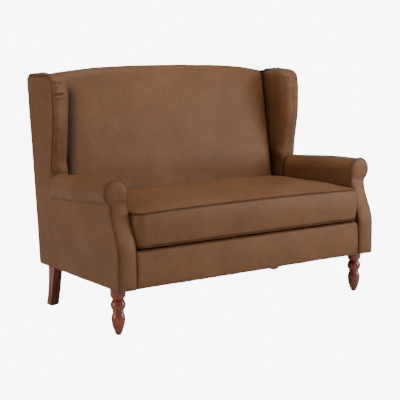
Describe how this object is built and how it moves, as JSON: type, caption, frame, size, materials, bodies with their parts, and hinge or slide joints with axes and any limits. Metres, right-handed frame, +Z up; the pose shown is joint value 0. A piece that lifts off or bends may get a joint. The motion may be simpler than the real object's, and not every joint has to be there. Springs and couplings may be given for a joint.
{
  "type": "high back settee",
  "caption": "Winged high back settee with rolled arms, one loose seat cushion, turned front legs and swept rear legs, in brown leather.",
  "frame": {"origin": "on the floor, in the middle of the settee's footprint", "axes": "+X to the right as seen from the front, +Y towards the back, +Z up; the front faces -Y"},
  "size_m": [1.37, 0.7762, 1.035],
  "materials": {
    "leather": "satin brown, softly mottled",
    "leather_piping": "satin brown self piping",
    "leg_wood": "glossy red-brown stain",
    "frame_wood": "sawn hardwood",
    "spring_steel": "plain steel",
    "padding": "foam and wadding",
    "lining_cloth": "woven lining",
    "dust_cloth": "black non-woven cloth",
    "glide_plastic": "matt nylon",
    "zip_plastic": "nylon coil zip on tape"
  },
  "bodies": {
    "settee_body": {"front_rail": "frame_wood", "rear_rail": "frame_wood", "side_rail_left": "frame_wood", "side_rail_right": "frame_wood", "seat_braces": "frame_wood", "corner_blocks": "frame_wood", "arm_post_left": "frame_wood", "arm_post_right": "frame_wood", "arm_rail_left": "frame_wood", "arm_rail_right": "frame_wood", "back_post_left": "frame_wood", "back_post_right": "frame_wood", "crest_rail": "frame_wood", "back_lower_rail": "frame_wood", "wing_frame_left": "frame_wood", "wing_frame_right": "frame_wood", "arm_boards": "frame_wood", "frame_dowels": "frame_wood", "seat_springs": "spring_steel", "spring_clips": "spring_steel", "spring_tie_wires": "spring_steel", "seat_pad": "padding", "deck_cloth": "lining_cloth", "back_webbing": "lining_cloth", "back_foam": "padding", "inside_back_cover": "leather", "outside_back_cover": "leather", "wing_foam_left": "padding", "wing_foam_right": "padding", "wing_cover_left": "leather", "wing_cover_right": "leather", "wing_welt_left": "leather_piping", "wing_welt_right": "leather_piping", "arm_foam_left": "padding", "arm_foam_right": "padding", "arm_cover_left": "leather", "arm_cover_right": "leather", "arm_front_left": "leather", "arm_front_right": "leather", "arm_welt_left": "leather_piping", "arm_welt_right": "leather_piping", "side_panel_left": "leather", "side_panel_right": "leather", "front_rail_pad": "padding", "front_rail_cover": "leather", "dust_cover": "dust_cloth", "front_leg_left": "leg_wood", "front_leg_right": "leg_wood", "rear_leg_left": "leg_wood", "rear_leg_right": "leg_wood", "leg_bolts": "spring_steel", "leg_nuts": "spring_steel", "leg_glides": "glide_plastic"},
    "seat_cushion": {"cushion_core": "padding", "cushion_cover": "leather", "cushion_welts": "leather_piping", "cushion_zip": "zip_plastic"}
  },
  "joints": [
    {"name": "cushion_lift", "type": "slide", "parent": "settee_body", "child": "seat_cushion", "axis": [0, 0, 1], "range_m": [0, 0.3]}
  ]
}
